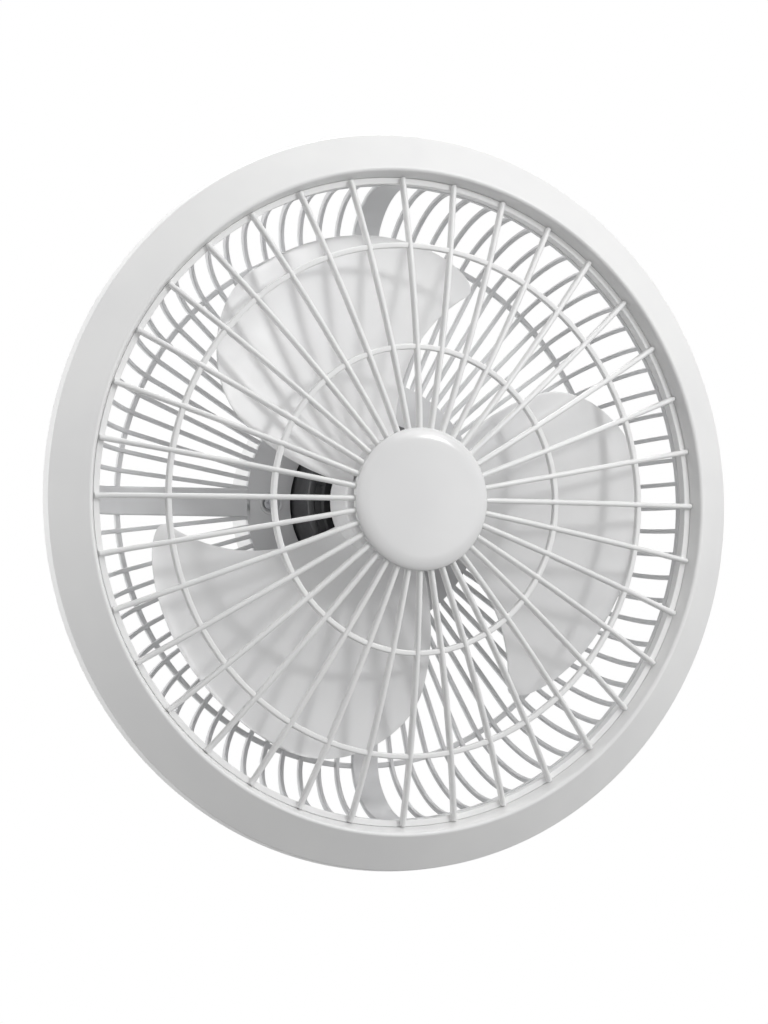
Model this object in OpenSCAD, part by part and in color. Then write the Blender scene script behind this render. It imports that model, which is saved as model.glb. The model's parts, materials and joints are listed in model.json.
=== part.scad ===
// Orbital ceiling fan: a caged fan head that tilts on a fork and circles under its ceiling canopy.
// Millimetres. Origin at the centre of the ceiling plate's upper face, +Z up, the head hangs below.
// Parts of the head are drawn in the head's own frame: its axis is z, the front is +z, and z = 0
// lies at the front guard's outer hoop. Parts of the mount are drawn in the frame of the room.

/* [Trim ring] */
// Outer radius of the trim ring
ring_r = 211.4; // [192:0.1:235]
// Width of the ring, from its opening to its outer edge
ring_w = 22.9; // [19:0.1:30]
// Height of the ring's front edge above the guard's ledge
ring_lift = 9; // [7:0.5:12]
// Fall of the ring's sloping face
ring_slope_h = 15.5; // [12:0.5:18]
// Height of the ring's side wall
ring_side_h = 8; // [7:0.5:13]
// Wall thickness of the ring
ring_wall = 2.2; // [1.8:0.1:3]

/* [Front guard] */
// Number of front ribs
front_ribs = 36; // [24:4:48]
// Width of a front rib
front_rib_w = 3.4; // [2.4:0.1:4.4]
// Depth of a front rib
front_rib_t = 4.2; // [3.5:0.1:6]
// Width of the two front hoops
front_hoop_w = 3.2; // [2.4:0.1:5]
// Radius of the inner hoop
hoop_in_r = 86.6; // [70:0.5:100]
// Radius of the outer hoop
hoop_out_r = 145; // [125:0.5:160]
// Height of the dome where it meets the cap
dome_z = 14.2; // [10:0.2:18]
// Radius of the dome's curve
dome_curve_r = 560; // [450:5:800]
// Radius of the flat middle of the dome
dome_flat_r = 20; // [5:1:40]
// Step from the ring's opening in to the guard's rim
rim_step = 7.2; // [6.5:0.1:9]
// Drop from the ends of the ribs to the rim's front ledge
rim_drop = 2.8; // [2:0.1:4]

/* [Cap] */
// Radius of the round cap
cap_r = 40.4; // [34:0.2:50]
// Thickness of the cap
cap_t = 4.6; // [3:0.1:6]
// Width of the cap's sloping shoulder
cap_shoulder_w = 8.4; // [4:0.2:12]

/* [Rear guard] */
// Number of rear ribs between two struts
rear_ribs = 19; // [14:1:21]
// Angle from the middle of a strut to the next rib
strut_clear = 6.5; // [5.5:0.1:8]
// Width of a rear rib
rear_rib_w = 2.6; // [2.2:0.1:4]
// Depth of a rear rib
rear_rib_t = 3.2; // [2.6:0.1:5]
// Width of the three struts
strut_w = 16.4; // [12:0.2:20]
// Radius of the rear hoop
rear_hoop_r = 152; // [135:0.5:158]
// Height of the hub plate's front face
plate_z = -67; // [-75:0.5:-62]
// Outer radius of the hub plate and the rear housing
plate_r = 74; // [70:0.5:85]
// Radius of the curved side of the guard
side_curve_r = 52; // [45:1:120]

/* [Propeller] */
// Number of blades
blades = 3; // [3:1:4]
// Radius at the blade tips
tip_r = 156.5; // [125:0.5:160]
// Outer radius of the propeller's hub
hub_r = 36; // [30:0.5:38]
// Thickness of a blade
blade_t = 2.6; // [2:0.1:4]
// Rise of the blade for each radian round the axis
blade_rise = 18.4; // [10:0.2:22]
// Angle of the first blade's reference line
blade_turn = 96; // [0:1:120]

/* [Motor] */
// Radius of the motor's housing
motor_r = 46.3; // [42:0.1:48]
// Height of the motor's front face
motor_front_z = -41; // [-44:0.5:-39]
// Radius of the motor shaft
shaft_r = 4; // [3.5:0.1:5]
// Depth of the rear housing behind the hub plate
housing_d = 32; // [30:0.5:40]

/* [Tilt joint] */
// Tilt of the head away from straight down
rest_tilt = 23; // [0:1:40]
// Radius of the tilt bolt
bolt_r = 4; // [3:0.1:5]
// Thickness of the lug on the head
lug_t = 16; // [12:0.5:20]
// Radius of the lug's round end
lug_r = 11; // [9:0.2:12]
// Thickness of each fork ear
ear_t = 6; // [4:0.2:8]

/* [Ceiling mount] */
// Distance from the ceiling down to the tilt bolt
drop = 120; // [118:1:180]
// Radius of the canopy
canopy_r = 60; // [56:0.5:75]
// Depth of the canopy
canopy_d = 46; // [42:0.5:60]
// Spacing of the ceiling screws
screw_spacing = 60; // [54:1:66]
// Radius of the ceiling screw holes
screw_hole_r = 2.75; // [2:0.05:3.25]
// Outer radius of the hollow stem
stem_r = 8; // [7:0.1:9]
// Radius of the wire way in the stem
stem_bore_r = 5; // [3:0.1:5.5]

/* [Orbit gears] */
// Tooth size of the gears
gear_module = 1; // [0.92:0.01:1.05]
// Teeth on the stem's gear
gear_teeth = 46; // [44:2:48]
// Teeth on the motor's pinion
pinion_teeth = 18; // [17:1:20]

/* [Hidden] */

$fn = 96;
ROUND_FN = 180;

// Clearances
gap = 0.2;
run_gap = 0.05;
press_gap = 0.02;
seat_gap = 0.1;

// Colours
white = [0.93, 0.93, 0.92];
shade = [0.86, 0.86, 0.86];
steel = [0.72, 0.73, 0.75];
dark = [0.25, 0.25, 0.26];
copper = [0.72, 0.42, 0.22];
brass = [0.78, 0.65, 0.34];
nylon = [0.9, 0.88, 0.8];

// Head: dome, rim, ledge and ring
dome_centre = [dome_flat_r, dome_z - dome_curve_r];
function dome_height(r) = r < dome_flat_r ? dome_z
    : dome_centre[1] + sqrt(pow(dome_curve_r, 2) - pow(r - dome_flat_r, 2));
rim_wall = 3.6;
rim_skirt = 6.5;
flange_w = 4.6;
flange_t = 2.7;
ring_mouth_r = ring_r - ring_w;
rim_r = ring_mouth_r - rim_step;
rim_out_r = rim_r + rim_wall;
rib_end_r = rim_out_r + 0.1;
rim_z = dome_height(rib_end_r) - rim_drop;
flange_r = rim_out_r + flange_w;
flange_top_z = rim_z - 0.8;
flange_low_z = flange_top_z - flange_t;
skirt_low_z = rim_z - rim_skirt;
rear_rim_z = skirt_low_z - gap;
rear_rim_t = 4;
rear_rim_in_r = rim_r - 0.4;
rear_rim_low_z = rear_rim_z - rear_rim_t;

ring_front_z = rim_z + ring_lift;
ring_shoulder_z = ring_front_z - ring_slope_h;
ring_rear_z = ring_shoulder_z - ring_side_h;
ring_lip_r = rim_out_r + 0.4;
ring_lip_z = flange_top_z + gap;
ring_slope_r = ring_r - 1.8;
ring_edge_round = 1.6;
ring_shoulder_round = 3;

ring_screws_n = 4;
ring_screw_r = ring_mouth_r + 0.42 * ring_w;
ring_boss_r = 4;
ring_shank_r = 1.35;
ring_screw_l = 8;
ear_w = 14;
ear_plate_t = 3;
ear_end = 5;
pan_h = 2;
pan_r = 3.3;
drive_w = 0.8;

// Head: hoops, disc and cap
hoop_sink = 0.9;
front_hoop_t = 3.4;
disc_r = cap_r - 0.9;
disc_t = 4.4;
rib_start_r = disc_r - 6;
cap_base_z = dome_height(rib_start_r) + gap;
cap_edge_h = 0.3;
cap_wall = 1.8;
shoulder_steps = 8;
plug_r = cap_r * 0.55;
plug_wall = 1.8;

// Head: rear guard
rear_hoop_w = 3.2;
rear_hoop_t = 3;
plate_t = 3;
rib_top_z = plate_z - 1;
rear_floor_z = rib_top_z - rear_rib_t;
rib_tab_t = 1.6;
rear_hoop_top_z = rib_top_z - 0.6;
side_top = [rim_r + rear_rib_t + 0.1, rear_rim_z - 1.6];
side_low = [rear_hoop_r + 2, rear_floor_z];
side_steps = 12;
bend_steps = 4;
bend_r = 24;
bend_turn = 9;
strut_turns = [90, 180, 270];
strut_t = 3;
motor_gap = 1;
motor_hole_r = motor_r + motor_gap;
boss_bolt_r = motor_hole_r + 0.44 * (plate_r - motor_hole_r);
boss_r = 7.5;
boss_h = 7;
recess_r = 5.6;
recess_d = 4.4;
recess_lip_w = 1.2;
recess_lip_h = 0.7;
hub_screw_r = 1.9;
hub_screw_l = 15;

// Head: motor
housing_wall = 2.5;
housing_back_t = 3;
housing_round = 8;
housing_top_z = plate_z - plate_t - gap;
housing_rear_z = plate_z - housing_d;
foot_top_z = plate_z - boss_h - gap;
foot_t = 4.8;
foot_low_z = foot_top_z - foot_t;
post_r = 5;
bell_wall = 2.2;
bell_split_z = plate_z + 1;
motor_rear_z = housing_rear_z + housing_back_t + 5;
bearing_r = 11;
bearing_w = 7;
bearing_boss_r = bearing_r + 3;
front_bearing_z = motor_front_z - 3.4;
rear_bearing_z = motor_rear_z + 1.6;
stator_r = motor_r - bell_wall - press_gap;
stator_bore_r = 24;
slot_turn = -13.5;
slot_w = 2.2;
slot_d = 2;
end_room = 14;
stator_h = motor_front_z - motor_rear_z - 2 * end_room;
stator_mid_z = (motor_front_z + motor_rear_z) / 2;
stator_slots = 16;
rotor_r = stator_bore_r - 0.4;
shaft_rear_z = rear_bearing_z + gap;
capacitor_w = 34;
capacitor_h = housing_d - housing_back_t - 9;
capacitor_t = plate_r - housing_wall - motor_hole_r - 9.2;

// Rotor
hub_lift = 7;
hub_h = 26;
thread_l = 8.5;
hub_rear_z = motor_front_z + hub_lift;
hub_front_z = hub_rear_z + hub_h;
shaft_tip_z = hub_front_z + thread_l;
hub_wall = 2.4;
hub_face_t = 3;
hub_round = 4;
core_r = shaft_r + 5;
core_rear_z = hub_rear_z + 1.5;
pin_r = 1.5;
pin_l = 2 * core_r + 2;
pin_z = core_rear_z + pin_r + 0.6;
nut_r = 14;
nut_t = 10;
thread_r = shaft_r - 0.6;
blade_drop = 9.4;
blade_camber = 3.2;
blade_mid_z = (hub_front_z + hub_rear_z) / 2 - blade_drop;
root_r = hub_r - hub_wall / 2;

// Tilt joint
knuckle_t = 4;
knuckle_r = 26;
knuckle_top_z = housing_rear_z - seat_gap;
knuckle_low_z = knuckle_top_z - knuckle_t;
ear_r = lug_r + 1;
knob_r = 11;
knob_lobe_r = 4.5;
pivot_back = -knuckle_low_z + knob_r + knob_lobe_r + 1.5;
knuckle_screw_r = 20;
knuckle_shank_r = 1.9;
knuckle_screw_l = knuckle_t + housing_back_t + 1.5;
washer_t = 1.2;
washer_r = bolt_r + 6;
ear_in_y = lug_t / 2 + washer_t + seat_gap;
ear_out_y = ear_in_y + ear_t;
fork_gap = lug_r + 2;
bridge_t = 8;
crown_r = stem_r + 5;
crown_h = 13;
pivot_z = -drop;
bridge_low_z = pivot_z + fork_gap;
bridge_top_z = bridge_low_z + bridge_t;
stem_low_z = bridge_top_z - 2;
fork_screw_r = 2;
fork_screw_z = bridge_top_z + crown_h / 2;
bolt_head_t = 5.5;
bolt_head_r = bolt_r * 1.9;
knob_t = 11;
knob_lobes = 5;
knob_neck_r = 9;
knob_neck_t = 2.5;
bolt_end_y = ear_out_y + knob_t - 2.5;

// Ceiling mount
plate_disc_r = canopy_r - 8;
plate_disc_t = 2.5;
supply_hole_r = 14;
spacer_at_r = plate_disc_r - 6;
spacer_r = 4.5;
spacer_turn = 30;
foot_turn = spacer_turn + 60;
canopy_wall = 2;
chassis_screw_l = 13;
canopy_screw_l = 8;
chassis_r = plate_disc_r - 2;
chassis_t = 4;
chassis_low_z = -canopy_d + 8;
chassis_top_z = chassis_low_z + chassis_t;
bush_wall = 3;
bush_r = stem_r + bush_wall;
bush_bore_r = stem_r + run_gap;
bush_flange_r = bush_r + 3;
bush_flange_t = 2;
bush_top_z = chassis_top_z + 6;
chassis_boss_r = bush_r + 3;
chassis_boss_low_z = chassis_low_z - 4;
washer_low_z = bush_top_z + seat_gap;
thrust_t = 1;
gear_low_z = washer_low_z + thrust_t + seat_gap;
gear_t = 7;
gear_hub_r = stem_r + 2.4;
gear_hub_top_z = gear_low_z + gear_t + 4.8;
clip_t = 1.2;
clip_z = gear_hub_top_z + seat_gap;
clip_r = stem_r + 2;
groove_r = stem_r - 0.8;
stem_top_z = clip_z + clip_t + 2;
gear_pitch_r = gear_module * gear_teeth / 2;
pinion_pitch_r = gear_module * pinion_teeth / 2;
gear_distance = gear_pitch_r + pinion_pitch_r;
backlash = 0.08;
pinion_t = gear_t + 1;
pinion_low_z = gear_low_z - 0.5;
stem_room = 1;
canopy_room = 5;
orbit_motor_r = min(gear_distance - clip_r - stem_room, canopy_r - canopy_wall - canopy_room - gear_distance);
orbit_motor_low_z = pinion_low_z + pinion_t + 1.8;
orbit_motor_h = -plate_disc_t - 1.5 - orbit_motor_low_z;
orbit_screw_l = 9;
pinion_shaft_r = 3;
lug_at_x = orbit_motor_r + 4;
lug_plate_t = 1.5;
motor_post_r = 4;
small_shank_r = 1.5;
collar_r = stem_r + 9;
canopy_hole_r = stem_r + 4;
canopy_round = 8;
canopy_top_gap = 0.5;
collar_top_z = -canopy_d - 0.6;
collar_t = 5;
terminal_size = [12, 30, 14];
terminal_at = [-gear_pitch_r - 15, -7];

// Turns the corner at v, between p and q, into an arc of radius r with n steps
function unit(v) = v / norm(v);
function corner(p, v, q, r, n) =
    let (
        a = unit(p - v),
        b = unit(q - v),
        half = acos(a * b) / 2,
        m = v + unit(a + b) * r / sin(half),
        s = v + a * r / tan(half) - m,
        e = v + b * r / tan(half) - m,
        a0 = atan2(s[1], s[0]),
        turn = atan2(s[0] * e[1] - s[1] * e[0], s * e)
    )
    [for (i = [0:n]) m + r * [cos(a0 + turn * i / n), sin(a0 + turn * i / n)]];

// Closed outline with its own corner radius at each point; radius 0 keeps a sharp corner
function rounded(pts, radii, n = 4) =
    let (c = len(pts))
    [for (i = [0:c - 1]) each
        (radii[i] == 0 ? [pts[i]] : corner(pts[(i + c - 1) % c], pts[i], pts[(i + 1) % c], radii[i], n))];

// Centre of the circle of radius r through a and b, on the right of the way from a to b
function arc_centre(a, b, r) =
    let (m = (a + b) / 2, h = norm(b - a) / 2, n = unit([b[1] - a[1], a[0] - b[0]]))
    m + n * sqrt(r * r - h * h);

module in_head() {
    translate([0, 0, pivot_z]) rotate([0, 180 + rest_tilt, 0]) translate([0, 0, pivot_back]) children();
}

module around(n, turn = 0) {
    for (i = [0:n - 1]) rotate([0, 0, turn + i * 360 / n]) children();
}

module at_z(z) {
    translate([0, 0, z]) children();
}

module tube(r_out, r_in, h) {
    difference() {
        cylinder(r = r_out, h = h);
        at_z(-1) cylinder(r = r_in, h = h + 2);
    }
}

module hoop(r, w, t) {
    rotate_extrude($fn = ROUND_FN) translate([r - w / 2, -t]) square([w, t]);
}

// Cross-headed pan screw that points to -z, its head standing on z = 0
module pan_screw(shank_r, l, head_r = pan_r, head_h = pan_h, drive_r = 1.8) {
    difference() {
        union() {
            cylinder(r = head_r, h = head_h);
            at_z(-l) cylinder(r = shank_r, h = l + 0.5);
        }
        for (a = [0, 90]) rotate([0, 0, a]) translate([-drive_r, -drive_w / 2, head_h - 1])
            cube([2 * drive_r, drive_w, 2]);
    }
}

// Rib that stands on the radial plane: an outline of radius and height, given the rib's width
module radial_plate(w) {
    rotate([90, 0, 0]) translate([0, 0, -w / 2]) linear_extrude(height = w) children();
}

// ---- Front of the head ----

// Bar that follows the dome's curve: a section with a round front, swept about the dome's centre
module front_rib() {
    from = asin((rib_start_r - dome_flat_r) / dome_curve_r);
    to = asin((rib_end_r - dome_flat_r) / dome_curve_r);
    half = front_rib_w / 2;
    translate([dome_centre[0], 0, dome_centre[1]]) rotate([90, 0, 0]) rotate([0, 0, 90 - to])
        rotate_extrude(angle = to - from, $fn = 720) translate([dome_curve_r - front_rib_t, 0])
        intersection() {
            translate([0, -half]) square([front_rib_t, front_rib_w]);
            union() {
                translate([front_rib_t - half, 0]) circle(r = half, $fn = 32);
                translate([-1, -half]) square([front_rib_t - half + 1, front_rib_w]);
            }
        }
}

module front_hoop(r) {
    at_z(dome_height(r) - hoop_sink) hoop(r, front_hoop_w, front_hoop_t);
}

module front_guard() {
    color(white) in_head() union() {
        around(front_ribs) front_rib();
        front_hoop(hoop_in_r);
        front_hoop(hoop_out_r);
        at_z(dome_height(rib_start_r) - disc_t) tube(disc_r, plug_r + gap, disc_t);
        rotate_extrude($fn = ROUND_FN) polygon([
            [rim_r, rim_z], [rim_out_r, rim_z], [rim_out_r, flange_top_z],
            [flange_r, flange_top_z], [flange_r, flange_low_z], [rim_out_r, flange_low_z],
            [rim_out_r, skirt_low_z], [rim_r, skirt_low_z]
        ]);
    }
}

// The cap's shoulder: a quarter ellipse from the flat face out and down to radius r at height z
function shoulder(r, z, h) = [
    for (i = [0:shoulder_steps])
        let (a = 90 * i / shoulder_steps)
        [r - cap_shoulder_w * (1 - sin(a)), z + h * cos(a)]
];

module front_cap() {
    inside = cap_base_z + cap_t - cap_wall;
    under = shoulder(cap_r - cap_wall, cap_base_z, cap_t - cap_wall);
    color(white) in_head() rotate_extrude() polygon(concat(
        [[0, cap_base_z + cap_t]], shoulder(cap_r, cap_base_z + cap_edge_h, cap_t - cap_edge_h),
        [[cap_r, cap_base_z]], [for (i = [shoulder_steps:-1:0]) under[i]],
        [
            [plug_r, inside], [plug_r, cap_base_z - disc_t], [plug_r - plug_wall, cap_base_z - disc_t],
            [plug_r - plug_wall, inside], [0, inside]
        ]));
}

// Height of the ring's sloping face at a radius, and of its underside
ring_fall = (ring_shoulder_z - ring_front_z) / (ring_slope_r - ring_mouth_r);
function face_height(r) = ring_front_z + ring_fall * (r - ring_mouth_r);
function under_height(r) = face_height(r) - ring_wall * norm([1, ring_fall]);

module ring_outline() {
    under_in_r = ring_mouth_r + ring_wall;
    under_out_r = ring_r - ring_wall;
    polygon(rounded(
        [
            [ring_lip_r, ring_lip_z], [ring_mouth_r, ring_front_z], [ring_slope_r, ring_shoulder_z],
            [ring_r, ring_shoulder_z - 2.5], [ring_r, ring_rear_z], [ring_r - ring_wall, ring_rear_z],
            [under_out_r, under_height(under_out_r)], [under_in_r, under_height(under_in_r)],
            [ring_lip_r + ring_wall, ring_lip_z]
        ],
        [0, ring_edge_round, ring_shoulder_round, 2, 0, 0, 0, 0, 0], 4));
}

module ring_under() {
    polygon([
        [ring_mouth_r, face_height(ring_mouth_r) - ring_wall / 2],
        [ring_slope_r, face_height(ring_slope_r) - ring_wall / 2],
        [ring_slope_r, ring_rear_z - 9], [ring_mouth_r, ring_rear_z - 9]
    ]);
}

module trim_ring() {
    boss_low_z = rear_rim_low_z + ear_plate_t + gap;
    color(white) in_head() difference() {
        union() {
            rotate_extrude($fn = ROUND_FN) ring_outline();
            intersection() {
                rotate_extrude($fn = ROUND_FN) ring_under();
                around(ring_screws_n, 45) translate([ring_screw_r, 0, boss_low_z])
                    cylinder(r = ring_boss_r, h = 20);
            }
        }
        around(ring_screws_n, 45) translate([ring_screw_r, 0, boss_low_z - 1])
            cylinder(r = ring_shank_r + run_gap, h = 7);
    }
}

module ring_screws() {
    color(steel) in_head() around(ring_screws_n, 45)
        translate([ring_screw_r, 0, rear_rim_low_z]) rotate([180, 0, 0])
        pan_screw(ring_shank_r, ring_screw_l);
}

// ---- Rear of the head ----

// Ribs and struts: a bar along the floor that bends up along the curved side to the rim
side_centre = arc_centre(side_top, side_low, side_curve_r);
rim_turn = atan2(side_top[1] - side_centre[1], side_top[0] - side_centre[0]);
function side_point(turn, r) = side_centre + r * [cos(turn), sin(turn)];
function floor_turn(z, r) = asin((z - side_centre[1]) / r);
function side_face(z, r) =
    let (from = floor_turn(z, r) + bend_turn)
    [for (i = [0:side_steps]) side_point(from + (rim_turn - from) * i / side_steps, r)];
function bar_outline(root, z, t) =
    let (
        inner_r = side_curve_r - t,
        inner = side_face(z, inner_r),
        outer = side_face(z - t, side_curve_r),
        straight = [for (i = inner) 0]
    )
    rounded(
        concat(
            [[root, z], side_point(floor_turn(z, inner_r), inner_r)], inner,
            [for (i = [side_steps:-1:0]) outer[i]],
            [side_point(floor_turn(z - t, side_curve_r), side_curve_r), [root, z - t]]),
        concat([0, bend_r], straight, straight, [bend_r + t, 0]), bend_steps);

// Turns of the ribs: between the struts, and right across the side that has no strut
function spread(from, to, n) = [for (i = [0:n - 1]) from + (to - from) * i / (n - 1)];
rib_turns = concat(
    spread(strut_clear - 90, 90 - strut_clear, 2 * rear_ribs + 1),
    spread(90 + strut_clear, 180 - strut_clear, rear_ribs),
    spread(180 + strut_clear, 270 - strut_clear, rear_ribs));

module rear_rib() {
    polygon(bar_outline(plate_r + 0.6, rib_top_z, rear_rib_t));
    translate([plate_r - 2, rib_top_z - rib_tab_t]) square([4, rib_tab_t]);
}

module rear_strut() {
    polygon(bar_outline(plate_r - 2, plate_z, strut_t));
}

module rear_guard() {
    color(shade) in_head() difference() {
        union() {
            for (turn = rib_turns) rotate([0, 0, turn]) radial_plate(rear_rib_w) rear_rib();
            for (turn = strut_turns) rotate([0, 0, turn]) radial_plate(strut_w) rear_strut();
            at_z(rear_hoop_top_z) hoop(rear_hoop_r, rear_hoop_w, rear_hoop_t);
            rotate_extrude($fn = ROUND_FN) polygon([
                [rear_rim_in_r, rear_rim_z], [rim_out_r + gap, rear_rim_z],
                [rim_out_r + gap, flange_low_z - gap], [flange_r, flange_low_z - gap],
                [flange_r, rear_rim_low_z], [rear_rim_in_r, rear_rim_low_z]
            ]);
            around(ring_screws_n, 45) translate([flange_r - 2, -ear_w / 2, rear_rim_low_z])
                cube([ring_screw_r - flange_r + ear_end + 2, ear_w, ear_plate_t]);
            at_z(plate_z - plate_t) cylinder(r = plate_r, h = plate_t);
            around(4) translate([boss_bolt_r, 0, plate_z]) {
                at_z(-boss_h) cylinder(r = boss_r, h = boss_h);
                at_z(-1) cylinder(r = recess_r + recess_lip_w, h = recess_lip_h + 1);
            }
        }
        at_z(plate_z - plate_t - 1) cylinder(r = motor_hole_r, h = plate_t + 2);
        around(4) translate([boss_bolt_r, 0, plate_z - recess_d])
            cylinder(r = recess_r, h = recess_d + recess_lip_h + 1);
        around(4) translate([boss_bolt_r, 0, plate_z - boss_h - 1])
            cylinder(r = hub_screw_r + gap, h = boss_h);
        around(ring_screws_n, 45) translate([ring_screw_r, 0, rear_rim_low_z - 1])
            cylinder(r = ring_shank_r + gap, h = ear_plate_t + 2);
    }
}

module hub_screws() {
    color(steel) in_head() around(4) translate([boss_bolt_r, 0, plate_z - recess_d])
        pan_screw(hub_screw_r, hub_screw_l, pan_r, 2.4, 2.2);
}

module rear_housing() {
    floor_z = housing_rear_z + housing_back_t;
    post_top_z = foot_low_z - gap;
    pilot_z = plate_z - recess_d - 16;
    color(white) in_head() difference() {
        union() {
            rotate_extrude($fn = ROUND_FN) polygon(rounded(
                [
                    [0, housing_rear_z], [plate_r, housing_rear_z], [plate_r, housing_top_z],
                    [plate_r - housing_wall, housing_top_z], [plate_r - housing_wall, floor_z], [0, floor_z]
                ],
                [0, housing_round, 0, 0, housing_round - housing_wall, 0], 6));
            around(4) translate([boss_bolt_r, 0, floor_z - 1])
                cylinder(r = post_r, h = post_top_z - floor_z + 1);
        }
        around(4) translate([boss_bolt_r, 0, pilot_z]) cylinder(r = hub_screw_r + run_gap, h = 30);
        around(4, 45) translate([knuckle_screw_r, 0, housing_rear_z - 1])
            cylinder(r = knuckle_shank_r + run_gap, h = housing_back_t + 2);
    }
}

module tilt_knuckle() {
    color(steel) in_head() difference() {
        union() {
            at_z(knuckle_low_z) cylinder(r = knuckle_r, h = knuckle_t);
            translate([-lug_r, -lug_t / 2, -pivot_back])
                cube([2 * lug_r, lug_t, pivot_back + knuckle_low_z + 1]);
            translate([0, lug_t / 2, -pivot_back]) rotate([90, 0, 0]) cylinder(r = lug_r, h = lug_t);
        }
        translate([0, lug_t, -pivot_back]) rotate([90, 0, 0]) cylinder(r = bolt_r + run_gap, h = 2 * lug_t);
        around(4, 45) translate([knuckle_screw_r, 0, knuckle_low_z - 1])
            cylinder(r = knuckle_shank_r + gap, h = knuckle_t + 2);
    }
}

module knuckle_screws() {
    color(steel) in_head() around(4, 45) translate([knuckle_screw_r, 0, knuckle_low_z])
        rotate([180, 0, 0]) pan_screw(knuckle_shank_r, knuckle_screw_l, pan_r, pan_h, 1.8);
}

// ---- Motor ----

module motor_front_bell() {
    pocket_z = front_bearing_z - bearing_w - gap;
    color(dark) in_head() difference() {
        rotate_extrude() polygon(rounded(
            [
                [bearing_boss_r, motor_front_z + 1.5], [bearing_boss_r, motor_front_z],
                [motor_r * 0.8, motor_front_z], [motor_r * 0.82, motor_front_z - 0.9],
                [motor_r * 0.91, motor_front_z - 0.9], [motor_r * 0.93, motor_front_z],
                [motor_r, motor_front_z], [motor_r, bell_split_z + gap],
                [motor_r - bell_wall, bell_split_z + gap],
                [motor_r - bell_wall, motor_front_z - bell_wall - 1],
                [bearing_boss_r, motor_front_z - bell_wall - 1], [bearing_boss_r, pocket_z],
                [shaft_r + 1.5, pocket_z], [shaft_r + 1.5, motor_front_z + 1.5]
            ],
            [0, 0, 0, 0, 0, 0, 2.4, 0, 0, 0, 0, 0, 0, 0], 4));
        at_z(pocket_z - 1) cylinder(r = bearing_r + press_gap, h = bearing_w + gap + 1);
        around(4, slot_turn) translate([motor_r * 0.83, -slot_w / 2, motor_front_z - slot_d])
            cube([motor_r * 0.07, slot_w, slot_d]);
    }
}

module motor_foot() {
    translate([0, -boss_r, foot_low_z]) cube([boss_bolt_r, 2 * boss_r, foot_t]);
    translate([boss_bolt_r, 0, foot_low_z]) cylinder(r = boss_r, h = foot_t);
}

module motor_rear_bell() {
    pocket_z = rear_bearing_z + bearing_w + gap;
    color(dark) in_head() difference() {
        union() {
            rotate_extrude() polygon(rounded(
                [
                    [0, motor_rear_z], [motor_r, motor_rear_z], [motor_r, bell_split_z],
                    [motor_r - bell_wall, bell_split_z], [motor_r - bell_wall, motor_rear_z + bell_wall],
                    [bearing_boss_r, motor_rear_z + bell_wall], [bearing_boss_r, pocket_z], [0, pocket_z]
                ],
                [0, 3, 0, 0, 0, 0, 0, 0], 4));
            difference() {
                around(4) motor_foot();
                at_z(foot_low_z - 1) cylinder(r = motor_r - 1, h = foot_t + 2);
            }
        }
        at_z(rear_bearing_z) cylinder(r = bearing_r + press_gap, h = 20);
        around(4) translate([boss_bolt_r, 0, foot_low_z - 1])
            cylinder(r = hub_screw_r + gap, h = foot_t + 2);
    }
}

module stator_core() {
    slot_r = 2.6;
    color(steel) in_head() at_z(stator_mid_z - stator_h / 2) difference() {
        tube(stator_r, stator_bore_r, stator_h);
        around(stator_slots) translate([stator_bore_r + 7, 0, -1]) cylinder(r = slot_r, h = stator_h + 2);
        around(stator_slots) translate([stator_bore_r - 1, -0.9, -1]) cube([7, 1.8, stator_h + 2]);
    }
}

module end_winding() {
    rotate_extrude() translate([stator_bore_r + 9, 0]) circle(r = 5, $fn = 32);
}

module stator_windings() {
    top_z = stator_mid_z + stator_h / 2 + seat_gap;
    low_z = stator_mid_z - stator_h / 2 - seat_gap;
    color(copper) in_head() {
        at_z(top_z) intersection() {
            end_winding();
            cylinder(r = stator_r - 3, h = 6);
        }
        at_z(low_z) intersection() {
            end_winding();
            at_z(-6) cylinder(r = stator_r - 3, h = 6);
        }
    }
}

module ball_bearing() {
    race = 2.2;
    mid_r = (bearing_r + shaft_r) / 2;
    ball_r = (bearing_r - shaft_r) / 2 - race + 0.5;
    difference() {
        union() {
            tube(bearing_r, bearing_r - race, bearing_w);
            tube(shaft_r + run_gap + race - 0.3, shaft_r + run_gap, bearing_w);
        }
        at_z(bearing_w / 2) rotate_extrude() translate([mid_r, 0]) circle(r = ball_r + run_gap, $fn = 32);
    }
    around(7) translate([mid_r, 0, bearing_w / 2]) sphere(r = ball_r, $fn = 24);
}

module front_bearing() {
    color(steel) in_head() at_z(front_bearing_z - bearing_w) ball_bearing();
}

module rear_bearing() {
    color(steel) in_head() at_z(rear_bearing_z) ball_bearing();
}

module run_capacitor() {
    color(dark) in_head() rotate([0, 0, 45])
        translate([motor_hole_r, -capacitor_w / 2, housing_rear_z + housing_back_t + seat_gap])
        cube([capacitor_t, capacitor_w, capacitor_h]);
}

// ---- Rotor ----

module motor_shaft() {
    color(steel) in_head() difference() {
        union() {
            at_z(shaft_rear_z) cylinder(r = shaft_r, h = hub_front_z - shaft_rear_z);
            at_z(hub_front_z - 1) cylinder(r = thread_r, h = shaft_tip_z - hub_front_z + 1);
        }
        translate([-pin_l, 0, pin_z]) rotate([0, 90, 0])
            cylinder(r = pin_r + press_gap, h = 2 * pin_l, $fn = 32);
    }
}

module rotor_core() {
    color(steel) in_head() at_z(stator_mid_z - stator_h / 2 - 2)
        tube(rotor_r, shaft_r + press_gap, stator_h + 4);
}

module drive_pin() {
    color(steel) in_head() translate([-pin_l / 2, 0, pin_z]) rotate([0, 90, 0])
        cylinder(r = pin_r, h = pin_l, $fn = 32);
}

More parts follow.
